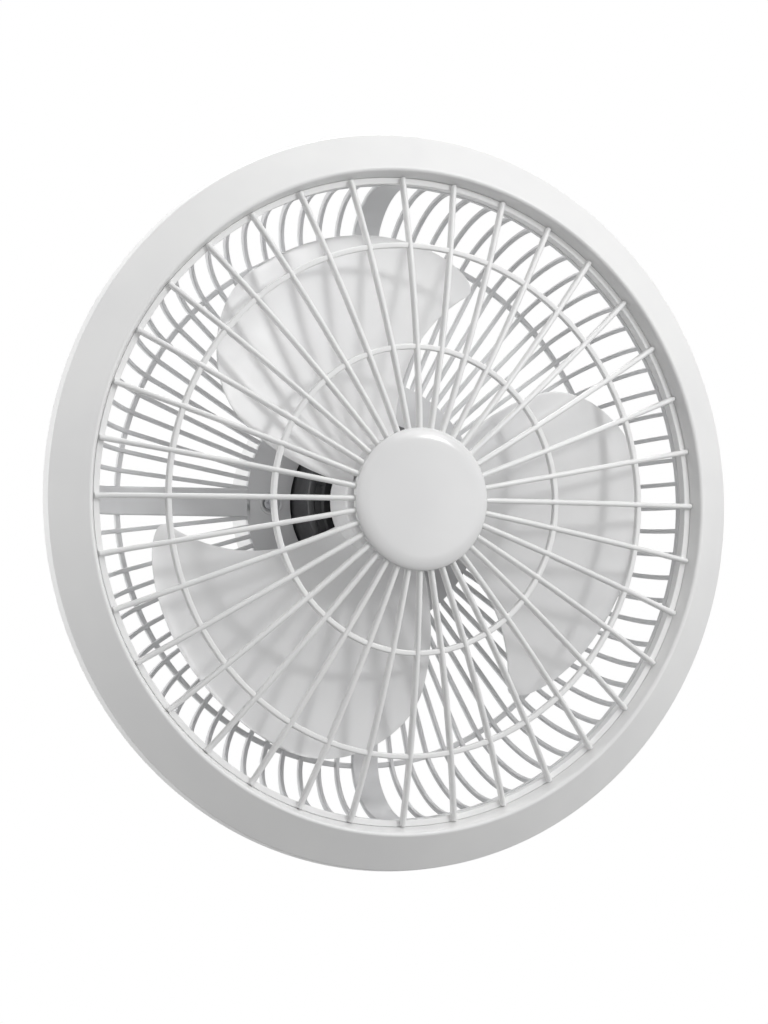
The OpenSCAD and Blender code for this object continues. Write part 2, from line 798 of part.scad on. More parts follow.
module spinner_nut() {
    low_z = hub_front_z + seat_gap;
    color(dark) in_head() difference() {
        union() {
            at_z(low_z) cylinder(r = nut_r, h = 3);
            at_z(low_z + 2) cylinder(r1 = nut_r - 3, r2 = nut_r - 5, h = nut_t - 2);
        }
        around(8) translate([nut_r + 0.6, 0, low_z - 1]) cylinder(r = 2, h = 5, $fn = 24);
        at_z(low_z - 1) cylinder(r = thread_r + run_gap, h = shaft_tip_z - low_z + 1.3);
    }
}

// Blade outline: leading and trailing angle at each radius, before the tip rounds them off
lead_root = -12;
lead_sweep = 17.4;
trail_root = 70;
trail_sweep = 9.6;
tip_mid = 29;
lead_round_r = 0.842;
trail_round_r = 0.687;
lead_round_power = 2;
trail_round_power = 2.1;

function sweep_in(r, r0, r1) = pow(max(0, (r - r0) / (r1 - r0)), 1.5);
function tip_fade(r, from, p) = r <= from ? 1 : pow(max(0, 1 - pow((r - from) / (tip_r - from), p)), 1 / p);
function lead_angle(r) =
    let (from = tip_r * lead_round_r, a = lead_root - lead_sweep * sweep_in(r, hub_r * 1.5, from))
    tip_mid + (a - tip_mid) * tip_fade(r, from, lead_round_power);
function trail_angle(r) =
    let (
        from = tip_r * trail_round_r,
        a = trail_root - trail_sweep * sweep_in(r, hub_r * 1.1, from)
    )
    tip_mid + (a - tip_mid) * tip_fade(r, from, trail_round_power);

span_steps = 26;
chord_steps = 12;
function span_radius(i) =
    let (u = i / span_steps)
    root_r + (tip_r - root_r) * sin(90 * pow(u, 0.8));

// Point of the blade's middle surface; s runs from 0 at the leading edge to 1 at the trailing edge
function blade_point(r, s, side) =
    let (
        a = lead_angle(r) + (trail_angle(r) - lead_angle(r)) * s,
        camber = blade_camber * sin(180 * s) * (r - root_r) / (tip_r - root_r),
        half = blade_t / 2 * (0.35 + 0.65 * sin(180 * s)) * (1.25 - 0.6 * (r - root_r) / (tip_r - root_r)),
        z = blade_mid_z + blade_rise * a * PI / 180 - camber
    )
    [r * cos(a), r * sin(a), z + side * half];

module blade() {
    nc = chord_steps + 1;
    ns = span_steps;
    upper = [for (i = [0:ns - 1]) for (j = [0:chord_steps]) blade_point(span_radius(i), j / chord_steps, 1)];
    lower = [for (i = [0:ns - 1]) for (j = [0:chord_steps]) blade_point(span_radius(i), j / chord_steps, -1)];
    low = nc * ns;
    sides = [
        for (i = [0:ns - 2]) for (j = [0:chord_steps - 1]) each [
            [i * nc + j, (i + 1) * nc + j + 1, (i + 1) * nc + j],
            [i * nc + j, i * nc + j + 1, (i + 1) * nc + j + 1],
            [low + i * nc + j, low + (i + 1) * nc + j, low + (i + 1) * nc + j + 1],
            [low + i * nc + j, low + (i + 1) * nc + j + 1, low + i * nc + j + 1]
        ]
    ];
    edges = [
        for (i = [0:ns - 2]) each [
            [i * nc, low + (i + 1) * nc, low + i * nc],
            [i * nc, (i + 1) * nc, low + (i + 1) * nc],
            [i * nc + chord_steps, low + (i + 1) * nc + chord_steps, (i + 1) * nc + chord_steps],
            [i * nc + chord_steps, low + i * nc + chord_steps, low + (i + 1) * nc + chord_steps]
        ]
    ];
    ends = [
        for (j = [0:chord_steps - 1]) each [
            [j, low + j + 1, j + 1],
            [j, low + j, low + j + 1],
            [(ns - 1) * nc + j, (ns - 1) * nc + j + 1, low + (ns - 1) * nc + j + 1],
            [(ns - 1) * nc + j, low + (ns - 1) * nc + j + 1, low + (ns - 1) * nc + j]
        ]
    ];
    polyhedron(points = concat(upper, lower), faces = concat(sides, edges, ends));
}

module propeller() {
    color(white) in_head() difference() {
        union() {
            around(blades, blade_turn) blade();
            rotate_extrude() polygon(rounded(
                [
                    [0, hub_front_z], [hub_r, hub_front_z], [hub_r, hub_rear_z],
                    [hub_r - hub_wall, hub_rear_z], [hub_r - hub_wall, hub_front_z - hub_face_t],
                    [core_r, hub_front_z - hub_face_t], [core_r, core_rear_z], [0, core_rear_z]
                ],
                [0, hub_round, 0, 0, 0, 0, 0, 0], 5));
        }
        at_z(core_rear_z - 1) cylinder(r = shaft_r + press_gap, h = hub_front_z - core_rear_z + 2);
        translate([-core_r - 1, -pin_r - seat_gap, core_rear_z - 1])
            cube([2 * core_r + 2, 2 * pin_r + 2 * seat_gap, pin_z + pin_r + seat_gap - core_rear_z + 1]);
    }
}

// ---- Tilt joint and stem ----

module in_pivot() {
    translate([0, 0, pivot_z]) children();
}

module ear(y) {
    translate([0, y + ear_t, 0]) rotate([90, 0, 0]) cylinder(r = ear_r, h = ear_t);
    translate([-ear_r, y, 0]) cube([2 * ear_r, ear_t, fork_gap + 1]);
}

module fork() {
    color(shade) difference() {
        union() {
            in_pivot() ear(ear_in_y);
            in_pivot() ear(-ear_out_y);
            translate([-ear_r, -ear_out_y, bridge_low_z]) cube([2 * ear_r, 2 * ear_out_y, bridge_t]);
            at_z(bridge_top_z - 1) cylinder(r = crown_r, h = crown_h + 1);
        }
        at_z(stem_low_z) cylinder(r = stem_r + press_gap, h = crown_h + 10);
        at_z(bridge_low_z - 1) cylinder(r = stem_bore_r - 1, h = bridge_t + 2);
        in_pivot() translate([0, ear_out_y + 1, 0]) rotate([90, 0, 0])
            cylinder(r = bolt_r + press_gap, h = 2 * ear_out_y + 2);
        translate([-crown_r - 1, 0, fork_screw_z]) rotate([0, 90, 0])
            cylinder(r = fork_screw_r + press_gap, h = 2 * crown_r + 2, $fn = 32);
    }
}

module fork_screws() {
    color(steel) for (s = [0, 180]) rotate([0, 0, s]) translate([stem_bore_r + 0.4, 0, fork_screw_z])
        rotate([0, 90, 0]) difference() {
            cylinder(r = fork_screw_r, h = crown_r - stem_bore_r - 0.8, $fn = 32);
            at_z(crown_r - stem_bore_r - 2.5) cylinder(r = fork_screw_r / 2, h = 3, $fn = 6);
        }
}

module orbit_stem() {
    color(steel) difference() {
        at_z(stem_low_z + press_gap) cylinder(r = stem_r, h = stem_top_z - stem_low_z - press_gap);
        at_z(stem_low_z - 1) cylinder(r = stem_bore_r, h = stem_top_z - stem_low_z + 2);
        at_z(clip_z - 0.05) difference() {
            cylinder(r = stem_r + 1, h = clip_t + 0.1);
            at_z(-1) cylinder(r = groove_r, h = clip_t + 3);
        }
        translate([-crown_r - 1, 0, fork_screw_z]) rotate([0, 90, 0])
            cylinder(r = fork_screw_r + press_gap, h = 2 * crown_r + 2, $fn = 32);
    }
}

module stem_collar() {
    color(white) rotate_extrude() polygon(rounded(
        [
            [stem_r + press_gap, collar_top_z], [collar_r, collar_top_z],
            [collar_r - 3, collar_top_z - collar_t], [stem_r + press_gap, collar_top_z - collar_t]
        ],
        [0, 0.8, 2, 0], 4));
}

module tilt_bolt() {
    color(steel) in_pivot() {
        translate([0, bolt_end_y, 0]) rotate([90, 0, 0])
            cylinder(r = bolt_r, h = bolt_end_y + ear_out_y + seat_gap + 1);
        translate([0, -ear_out_y - seat_gap, 0]) rotate([90, 0, 0])
            cylinder(r = bolt_head_r, h = bolt_head_t, $fn = 6);
    }
}

module friction_washers() {
    color(dark) in_pivot() for (s = [-1, 1])
        translate([0, s * (lug_t / 2 + seat_gap / 2 + washer_t / 2) + washer_t / 2, 0]) rotate([90, 0, 0])
            tube(washer_r, bolt_r + press_gap, washer_t);
}

module tilt_knob() {
    color(dark) in_pivot() translate([0, ear_out_y + gap, 0]) rotate([-90, 0, 0]) difference() {
        union() {
            cylinder(r = knob_neck_r, h = knob_neck_t + 1);
            at_z(knob_neck_t) linear_extrude(height = knob_t - knob_neck_t) {
                circle(r = knob_r);
                around(knob_lobes) translate([knob_r, 0, 0]) circle(r = knob_lobe_r, $fn = 32);
            }
        }
        at_z(-1) cylinder(r = bolt_r + run_gap, h = bolt_end_y - ear_out_y + 1);
    }
}

// ---- Orbit drive ----

// Angle in degrees that an involute from base radius rb has turned at radius r
function involute_turn(rb, r) =
    let (t = sqrt(max(0, pow(r / rb, 2) - 1)))
    t * 180 / PI - atan(t);

module toothed_wheel(teeth, h) {
    rp = gear_module * teeth / 2;
    rb = rp * cos(20);
    tip = rp + gear_module;
    root = rp - 1.25 * gear_module;
    half = 90 / teeth - backlash / rp * 180 / PI;
    steps = 4;
    start = max(rb, root);
    flank = [for (i = [0:steps])
        let (r = start + (tip - start) * i / steps) [r, half + involute_turn(rb, rp) - involute_turn(rb, r)]];
    outline = [for (k = [0:teeth - 1])
        let (c = k * 360 / teeth) each concat(
            [root * [cos(c - flank[0][1]), sin(c - flank[0][1])]],
            [for (i = [0:steps]) flank[i][0] * [cos(c - flank[i][1]), sin(c - flank[i][1])]],
            [for (i = [steps:-1:0]) flank[i][0] * [cos(c + flank[i][1]), sin(c + flank[i][1])]],
            [root * [cos(c + flank[0][1]), sin(c + flank[0][1])]])];
    linear_extrude(height = h) polygon(outline);
}

module orbit_gear() {
    windows = 6;
    window_at_r = (gear_hub_r + gear_pitch_r) / 2;
    color(nylon) difference() {
        union() {
            at_z(gear_low_z) rotate([0, 0, 90]) toothed_wheel(gear_teeth, gear_t);
            at_z(gear_low_z) cylinder(r = gear_hub_r, h = gear_hub_top_z - gear_low_z);
        }
        at_z(gear_low_z - 1) cylinder(r = stem_r + press_gap, h = gear_hub_top_z - gear_low_z + 2);
        at_z(gear_low_z - 1) around(windows) translate([window_at_r, 0, 0])
            cylinder(r = gear_pitch_r * 0.13, h = gear_t + 2, $fn = 32);
    }
}

module orbit_pinion() {
    color(nylon) translate([0, gear_distance, pinion_low_z]) difference() {
        rotate([0, 0, 270 + 180 / pinion_teeth]) toothed_wheel(pinion_teeth, pinion_t);
        at_z(-1) cylinder(r = pinion_shaft_r + press_gap, h = pinion_t + 2);
    }
}

module pinion_shaft() {
    color(steel) translate([0, gear_distance, pinion_low_z - 1])
        cylinder(r = pinion_shaft_r, h = orbit_motor_low_z + 4 - pinion_low_z + 1);
}

module orbit_motor() {
    color(steel) translate([0, gear_distance, orbit_motor_low_z]) difference() {
        union() {
            cylinder(r = orbit_motor_r, h = orbit_motor_h);
            for (s = [-1, 1]) {
                translate([s * lug_at_x, 0, 0]) cylinder(r = 4.5, h = lug_plate_t, $fn = 32);
                translate([min(0, s * lug_at_x), -4.5, 0]) cube([lug_at_x, 9, lug_plate_t]);
            }
        }
        at_z(-1) cylinder(r = pinion_shaft_r + run_gap, h = 7);
        for (s = [-1, 1]) translate([s * lug_at_x, 0, -1]) cylinder(r = small_shank_r + gap, h = 4, $fn = 32);
    }
}

module orbit_motor_screws() {
    color(steel) for (s = [-1, 1])
        translate([s * lug_at_x, gear_distance, orbit_motor_low_z + lug_plate_t])
            pan_screw(small_shank_r, orbit_screw_l, 2.8, 1.8, 1.6);
}

module retaining_ring() {
    color(steel) at_z(clip_z) difference() {
        tube(clip_r, groove_r + press_gap, clip_t);
        translate([-2, -clip_r - 1, -1]) cube([4, clip_r, clip_t + 2]);
    }
}

module thrust_washer() {
    color(brass) at_z(washer_low_z) tube(bush_flange_r - 1, stem_r + press_gap, thrust_t);
}

module shaft_bush() {
    color(brass) difference() {
        union() {
            at_z(chassis_boss_low_z) cylinder(r = bush_r, h = bush_top_z - chassis_boss_low_z);
            at_z(bush_top_z - bush_flange_t) cylinder(r = bush_flange_r, h = bush_flange_t);
        }
        at_z(chassis_boss_low_z - 1) cylinder(r = bush_bore_r, h = bush_top_z - chassis_boss_low_z + 2);
    }
}

module orbit_chassis() {
    boss_top_z = bush_top_z - bush_flange_t - seat_gap;
    foot_z = -canopy_d + canopy_wall + gap;
    color(shade) difference() {
        union() {
            at_z(chassis_low_z) cylinder(r = chassis_r, h = chassis_t);
            at_z(chassis_boss_low_z) cylinder(r = chassis_boss_r, h = boss_top_z - chassis_boss_low_z);
            for (s = [-1, 1]) translate([s * lug_at_x, gear_distance, chassis_top_z - 1])
                cylinder(r = motor_post_r, h = orbit_motor_low_z - chassis_top_z + 1 - seat_gap);
            around(3, foot_turn) translate([spacer_at_r, 0, foot_z])
                cylinder(r = spacer_r, h = chassis_low_z - foot_z + 1);
        }
        at_z(chassis_boss_low_z - 1)
            cylinder(r = bush_r + press_gap, h = boss_top_z - chassis_boss_low_z + 2);
        around(3, spacer_turn) translate([spacer_at_r, 0, chassis_low_z - 1])
            cylinder(r = hub_screw_r + gap, h = chassis_t + 2);
        around(3, foot_turn) translate([spacer_at_r, 0, foot_z - 1])
            cylinder(r = hub_screw_r + run_gap, h = 9);
        for (s = [-1, 1]) translate([s * lug_at_x, gear_distance, orbit_motor_low_z - 10])
            cylinder(r = small_shank_r + run_gap, h = 12, $fn = 32);
    }
}

module chassis_spacers() {
    low_z = chassis_top_z + seat_gap;
    l = -plate_disc_t - seat_gap - low_z;
    color(steel) around(3, spacer_turn) translate([spacer_at_r, 0, low_z]) difference() {
        cylinder(r = spacer_r, h = l);
        at_z(-1) cylinder(r = hub_screw_r + run_gap, h = l + 2);
    }
}

module chassis_screws() {
    color(steel) around(3, spacer_turn) translate([spacer_at_r, 0, chassis_low_z])
        rotate([180, 0, 0]) pan_screw(hub_screw_r, chassis_screw_l);
}

module plate_screws() {
    head = hub_screw_r + 1.6;
    color(steel) around(3, spacer_turn) translate([spacer_at_r, 0, 0]) {
        at_z(-1.8) cylinder(r1 = hub_screw_r, r2 = head, h = 1.6);
        at_z(-11) cylinder(r = hub_screw_r, h = 9.4);
    }
}

module ceiling_plate() {
    half = screw_spacing / 2;
    color(steel) difference() {
        at_z(-plate_disc_t) cylinder(r = plate_disc_r, h = plate_disc_t);
        at_z(-plate_disc_t - 1) cylinder(r = supply_hole_r, h = plate_disc_t + 2);
        for (x = [-half, half]) for (y = [-half, half])
            translate([x, y, -plate_disc_t - 1]) cylinder(r = screw_hole_r, h = plate_disc_t + 2);
        around(3, spacer_turn) translate([spacer_at_r, 0, 0]) {
            at_z(-plate_disc_t - 1) cylinder(r = hub_screw_r + gap, h = plate_disc_t + 2);
            at_z(-1.8) cylinder(r1 = hub_screw_r + gap, r2 = hub_screw_r + 2, h = 1.81);
        }
    }
}

module terminal_block() {
    top_z = -plate_disc_t - seat_gap;
    color(nylon) difference() {
        translate([terminal_at[0] - terminal_size[0] / 2, terminal_at[1] - terminal_size[1] / 2,
            top_z - terminal_size[2]]) cube(terminal_size);
        for (k = [-1, 0, 1]) {
            translate([terminal_at[0] - terminal_size[0], terminal_at[1] + k * 9, top_z - 8])
                rotate([0, 90, 0]) cylinder(r = 2, h = 2 * terminal_size[0], $fn = 24);
            translate([terminal_at[0], terminal_at[1] + k * 9, top_z - terminal_size[2] - 1])
                cylinder(r = 1.6, h = 7, $fn = 24);
        }
    }
}

module canopy() {
    low = -canopy_d;
    color(white) difference() {
        rotate_extrude($fn = ROUND_FN) polygon(rounded(
            [
                [canopy_hole_r, low], [canopy_r, low], [canopy_r, -canopy_top_gap],
                [canopy_r - canopy_wall, -canopy_top_gap], [canopy_r - canopy_wall, low + canopy_wall],
                [canopy_hole_r, low + canopy_wall]
            ],
            [0, canopy_round, 0, 0, canopy_round - canopy_wall, 0], 6));
        around(3, foot_turn) translate([spacer_at_r, 0, low - 1])
            cylinder(r = hub_screw_r + gap, h = canopy_wall + 2);
    }
}

module canopy_screws() {
    color(steel) around(3, foot_turn) translate([spacer_at_r, 0, -canopy_d])
        rotate([180, 0, 0]) pan_screw(hub_screw_r, canopy_screw_l);
}

ceiling_plate();
plate_screws();
chassis_spacers();
orbit_chassis();
chassis_screws();
shaft_bush();
orbit_motor();
orbit_motor_screws();
terminal_block();
canopy();
canopy_screws();
orbit_stem();
orbit_gear();
thrust_washer();
retaining_ring();
stem_collar();
fork();
fork_screws();
tilt_bolt();
friction_washers();
tilt_knob();
pinion_shaft();
orbit_pinion();
tilt_knuckle();
knuckle_screws();
rear_housing();
rear_guard();
hub_screws();
motor_front_bell();
motor_rear_bell();
stator_core();
stator_windings();
front_bearing();
rear_bearing();
run_capacitor();
front_guard();
front_cap();
trim_ring();
ring_screws();
motor_shaft();
rotor_core();
propeller();
drive_pin();
spinner_nut();
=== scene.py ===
import json
import math

import bmesh
import bpy
from mathutils import Matrix, Vector
from mathutils.geometry import delaunay_2d_cdt


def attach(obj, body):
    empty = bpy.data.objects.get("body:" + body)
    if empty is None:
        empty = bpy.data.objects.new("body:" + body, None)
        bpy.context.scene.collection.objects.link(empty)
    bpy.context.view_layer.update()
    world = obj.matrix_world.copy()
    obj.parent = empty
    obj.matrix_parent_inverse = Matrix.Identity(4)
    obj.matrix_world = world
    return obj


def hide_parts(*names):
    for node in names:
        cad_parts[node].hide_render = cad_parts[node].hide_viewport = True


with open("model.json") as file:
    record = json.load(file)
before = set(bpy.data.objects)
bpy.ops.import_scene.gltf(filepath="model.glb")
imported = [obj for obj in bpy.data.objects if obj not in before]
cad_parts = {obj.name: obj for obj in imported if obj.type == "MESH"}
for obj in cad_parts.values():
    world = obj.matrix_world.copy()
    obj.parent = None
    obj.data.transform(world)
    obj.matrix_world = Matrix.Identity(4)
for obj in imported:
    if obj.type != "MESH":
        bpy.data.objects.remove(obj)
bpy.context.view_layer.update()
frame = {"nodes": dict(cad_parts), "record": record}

# ---- The head's place, as the CAD model has it (metres and degrees) ----

DROP = 0.120
REST_TILT = 23
PIVOT_BACK = 0.1201
HEAD = (
    Matrix.Translation((0, 0, -DROP))
    @ Matrix.Rotation(math.radians(180 + REST_TILT), 4, "Y")
    @ Matrix.Translation((0, 0, PIVOT_BACK))
)
MM = 0.001

# ---- Sizes of the head's skins, in millimetres, in the head's own frame: +z is the way the air leaves ----

GAP = 0.2

DOME_Z = 14.2
DOME_FLAT_R = 20
DOME_CURVE_R = 560


def dome_height(r):
    if r < DOME_FLAT_R:
        return DOME_Z
    return DOME_Z - DOME_CURVE_R + math.sqrt(DOME_CURVE_R ** 2 - (r - DOME_FLAT_R) ** 2)


# Rim of the front guard, with the ring's mouth outside it
RING_MOUTH_R = 188.5
RIM_STEP = 7.2
RIM_WALL = 3.6
RIM_DROP = 2.8
RIM_SKIRT = 6.5
RIM_R = RING_MOUTH_R - RIM_STEP
RIM_OUT_R = RIM_R + RIM_WALL
RIB_END_R = RIM_OUT_R + 0.1
RIM_Z = dome_height(RIB_END_R) - RIM_DROP
SKIRT_LOW_Z = RIM_Z - RIM_SKIRT
FLANGE_W = 4.6
FLANGE_T = 2.7
FLANGE_R = RIM_OUT_R + FLANGE_W
FLANGE_TOP_Z = RIM_Z - 0.8
FLANGE_LOW_Z = FLANGE_TOP_Z - FLANGE_T

# Round cap and the disc behind it
CAP_R = 40.4
CAP_T = 4.6
CAP_EDGE_H = 0.3
CAP_SHOULDER_W = 8.4
CAP_CROWN = 0.9
CAP_WALL = 1.8
PLUG_R = CAP_R * 0.55
DISC_R = CAP_R - 0.9
DISC_T = 4.4
RIB_START_R = DISC_R - 6
CAP_BASE_Z = dome_height(RIB_START_R) + GAP

# Ribs and hoops of the front guard
RIBS = 36
RIB_W = 3.0
RIB_T = 4.2
RIB_ROUND = 0.6
HOOP_RADII = (86.6, 145)
HOOP_W = 3.2
HOOP_T = 3.4
HOOP_SINK = 0.9
HOOP_ROUND = 0.9

# Rim of the rear guard, with the ears for the ring's screws
REAR_RIM_IN_R = RIM_R - 0.4
REAR_RIM_Z = SKIRT_LOW_Z - GAP
REAR_RIM_T = 4
REAR_RIM_LOW_Z = REAR_RIM_Z - REAR_RIM_T
REAR_LIP_IN_R = RIM_OUT_R + GAP
REAR_LIP_Z = FLANGE_LOW_Z - GAP
EAR_W = 14
EAR_T = 3
EAR_END = 5
EAR_ROUND = 3
EAR_BORE_R = 1.55

# Trim ring
RING_R = 210.8
RING_SLOPE_R = 210.0
RING_LIFT = 9
RING_FRONT_Z = RIM_Z + RING_LIFT
RING_SHOULDER_Z = -17.5
RING_REAR_Z = -24.4
RING_WALL = 2.2
RING_LIP_R = RIM_OUT_R + 0.05
RING_LIP_Z = FLANGE_TOP_Z + GAP
RING_SCREW_R = 198.118
RING_SCREW_TURNS = (45, 135, 225, 315)
RING_BOSS_R = 4
RING_BOSS_BORE_R = 1.65
RING_BOSS_LOW_Z = REAR_RIM_LOW_Z + EAR_T + GAP

# Propeller
HUB_R = 36
HUB_FRONT_Z = -8
HUB_REAR_Z = -34
HUB_WALL = 2.4
HUB_FACE_T = 3
HUB_ROUND = 4
CORE_R = 9
CORE_REAR_Z = HUB_REAR_Z + 1.5
CORE_BORE_R = 4.02
BLADES = 3
BLADE_TURN = 96
BLADE_T = 2.6
BLADE_DROP = 9.4
BLADE_MID_Z = (HUB_FRONT_Z + HUB_REAR_Z) / 2 - BLADE_DROP
BLADE_RISE = 18.4
BLADE_CAMBER = 3.2
BLADE_EDGE = 1.1
BLADE_FILLET_R = 7
BLADE_FILLET_T = 1.6
ROOT_R = HUB_R - HUB_WALL / 2
TIP_R = 156.5
TIP_MID = 29
LEAD = {"root": -12, "sweep": -17.4, "from": HUB_R * 1.5, "round_r": 0.842, "power": 2}
TRAIL = {"root": 70, "sweep": -9.6, "from": HUB_R * 1.1, "round_r": 0.687, "power": 2.1}

# Rear guard: hub plate with its screw recesses, ribs, struts and hoop
PLATE_Z = -67
PLATE_T = 3
PLATE_R = 74
MOTOR_HOLE_R = 47.3
BOSS_AT_R = MOTOR_HOLE_R + 0.44 * (PLATE_R - MOTOR_HOLE_R)
BOSS_TURNS = (0, 90, 180, 270)
BOSS_R = 7.5
BOSS_H = 7
BOSS_LOW_Z = PLATE_Z - BOSS_H
BOSS_BORE_R = 2.1
RECESS_R = 5.6
RECESS_FLOOR_Z = PLATE_Z - 4.4
RECESS_LIP_R = RECESS_R + 1.2
RECESS_LIP_Z = PLATE_Z + 0.7
REAR_RIBS = 19
STRUT_CLEAR = 6.5
REAR_RIB_W = 2.6
REAR_RIB_T = 3.2
REAR_RIB_Z = PLATE_Z - 1
REAR_RIB_ROUND = 0.7
REAR_RIB_ROOT_R = PLATE_R + 2.4
ROOT_THIN = 0.45
STRUT_W = 16.4
STRUT_T = 3
STRUT_TURNS = (90, 180, 270)
STRUT_ROUND = 1.0
STRUT_ROOT_R = PLATE_R - 2
REAR_HOOP_R = 152
REAR_HOOP_Z = REAR_RIB_Z - 0.6
REAR_HOOP_W = 3.2
REAR_HOOP_T = 3
REAR_HOOP_ROUND = 0.8
SIDE_TOP = (RIM_R + REAR_RIB_T + 0.1, REAR_RIM_Z - 1.6)
SIDE_LOW = (REAR_HOOP_R + 2, REAR_RIB_Z - REAR_RIB_T)
SIDE_R = 52
BEND_R = 24
BEND_TURN = 9

# ---- Mesh helpers ----


def rounded(points, radii, steps=8):
    """The closed outline with each corner rounded to its radius."""
    out = []
    count = len(points)
    for i, radius in enumerate(radii):
        before, here, after = (Vector(points[(i + k) % count]) for k in (-1, 0, 1))
        if radius == 0:
            out.append(tuple(here))
            continue
        back, on = (before - here).normalized(), (after - here).normalized()
        half = back.angle(on) / 2
        reach = radius / math.tan(half)
        centre = here + (back + on).normalized() * radius / math.sin(half)
        start, end = here + back * reach - centre, here + on * reach - centre
        turn = start.angle_signed(end)
        for k in range(steps + 1):
            a = -turn * k / steps
            across = start.x * math.cos(a) - start.y * math.sin(a)
            along = start.x * math.sin(a) + start.y * math.cos(a)
            out.append((centre.x + across, centre.y + along))
    return out


def at(r, degrees, z):
    a = math.radians(degrees)
    return Vector((r * math.cos(a), r * math.sin(a), z))


def skin(bm, rings, closed=False):
    """Faces between neighbouring rings of points, capped at the ends unless the last meets the first."""
    rows = [[bm.verts.new(p) for p in ring] for ring in rings]
    pairs = list(zip(rows, rows[1:] + rows[:1])) if closed else list(zip(rows, rows[1:]))
    for low, high in pairs:
        for k in range(len(low)):
            n = (k + 1) % len(low)
            bm.faces.new((low[k], low[n], high[n], high[k]))
    if not closed:
        bm.faces.new(rows[0][::-1])
        bm.faces.new(rows[-1])


def revolve(bm, outline, steps=360, centre=(0, 0)):
    """A closed outline of (r, z) points turned about the head's axis, or one beside it."""
    aside = Vector((*centre, 0))
    skin(bm, [[at(r, 360 * i / steps, z) + aside for r, z in outline] for i in range(steps)], closed=True)


def slab(bm, loops, high, low):
    """A flat plate between two heights; the first loop is its outline and the others are its holes."""
    points, edges = [], []
    for loop in loops:
        first = len(points)
        points += loop
        edges += [(first + i, first + (i + 1) % len(loop)) for i in range(len(loop))]
    flat, _, faces, *_ = delaunay_2d_cdt([Vector(p) for p in points], edges, [], 0, 1e-6)
    levels = [[bm.verts.new((p.x, p.y, z)) for p in flat] for z in (high, low)]
    for a, b, c in faces:
        middle = (flat[a] + flat[b] + flat[c]) / 3
        if inside(middle, loops[0]) and not any(inside(middle, hole) for hole in loops[1:]):
            bm.faces.new([levels[0][i] for i in (a, b, c)])
            bm.faces.new([levels[1][i] for i in (c, b, a)])
    for i, n in edges:
        bm.faces.new((levels[0][i], levels[0][n], levels[1][n], levels[1][i]))


def inside(point, loop):
    """Whether the point is within the closed loop."""
    odd = False
    for (x0, y0), (x1, y1) in zip(loop, loop[1:] + loop[:1]):
        if (y0 > point[1]) != (y1 > point[1]):
            crossing = x0 + (point[1] - y0) / (y1 - y0) * (x1 - x0)
            odd = odd != (point[0] < crossing)
    return odd


def circle(radius, centre=(0, 0), steps=48):
    turns = [2 * math.pi * i / steps for i in range(steps)]
    return [(centre[0] + radius * math.cos(a), centre[1] + radius * math.sin(a)) for a in turns]


SHARP_ANGLE = 34


def add_piece(name, bm, body, slot, replaced, finish=None):
    """Puts the head-frame mesh into the scene as a smooth piece; finish names a material of its own."""
    bmesh.ops.remove_doubles(bm, verts=bm.verts, dist=1e-5)
    bmesh.ops.recalc_face_normals(bm, faces=bm.faces)
    bm.transform(HEAD @ Matrix.Scale(MM, 4))
    mesh = bpy.data.meshes.new(name)
    bm.to_mesh(mesh)
    bm.free()
    mesh.shade_smooth()
    mesh.set_sharp_from_angle(angle=math.radians(SHARP_ANGLE))
    piece = bpy.data.objects.new(name, mesh)
    bpy.context.scene.collection.objects.link(piece)
    even = piece.modifiers.new("even_shading", "WEIGHTED_NORMAL")
    even.keep_sharp = True
    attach(piece, body)
    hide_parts(replaced)
    piece.data.materials.append(materials[finish or slot])
    return piece


# ---- Front guard: ribs with round fronts, two hoops, the disc behind the cap and the stepped rim ----

RIB_STATIONS = 40


def rib_section():
    """The rib's section as (across, depth): a round front and softened rear corners."""
    half = RIB_W / 2
    front = [(half * math.sin(a), half - half * math.cos(a)) for a in
             (math.radians(-90 + 180 * i / 16) for i in range(17))]
    corners = [(half, half), (half, RIB_T), (-half, RIB_T), (-half, half)]
    rear = rounded(corners, [0, RIB_ROUND, RIB_ROUND, 0], 4)
    return front + rear[1:-1]


def add_ribs(bm):
    angles = [math.asin((r - DOME_FLAT_R) / DOME_CURVE_R) for r in (RIB_START_R, RIB_END_R)]
    section = rib_section()
    for i in range(RIBS):
        spin = Matrix.Rotation(math.radians(360 * i / RIBS), 3, "Z")
        rings = []
        for k in range(RIB_STATIONS + 1):
            a = angles[0] + (angles[1] - angles[0]) * k / RIB_STATIONS
            rings.append([
                spin @ Vector((
                    DOME_FLAT_R + (DOME_CURVE_R - d) * math.sin(a),
                    across,
                    DOME_Z - DOME_CURVE_R + (DOME_CURVE_R - d) * math.cos(a),
                ))
                for across, d in section
            ])
        skin(bm, rings)


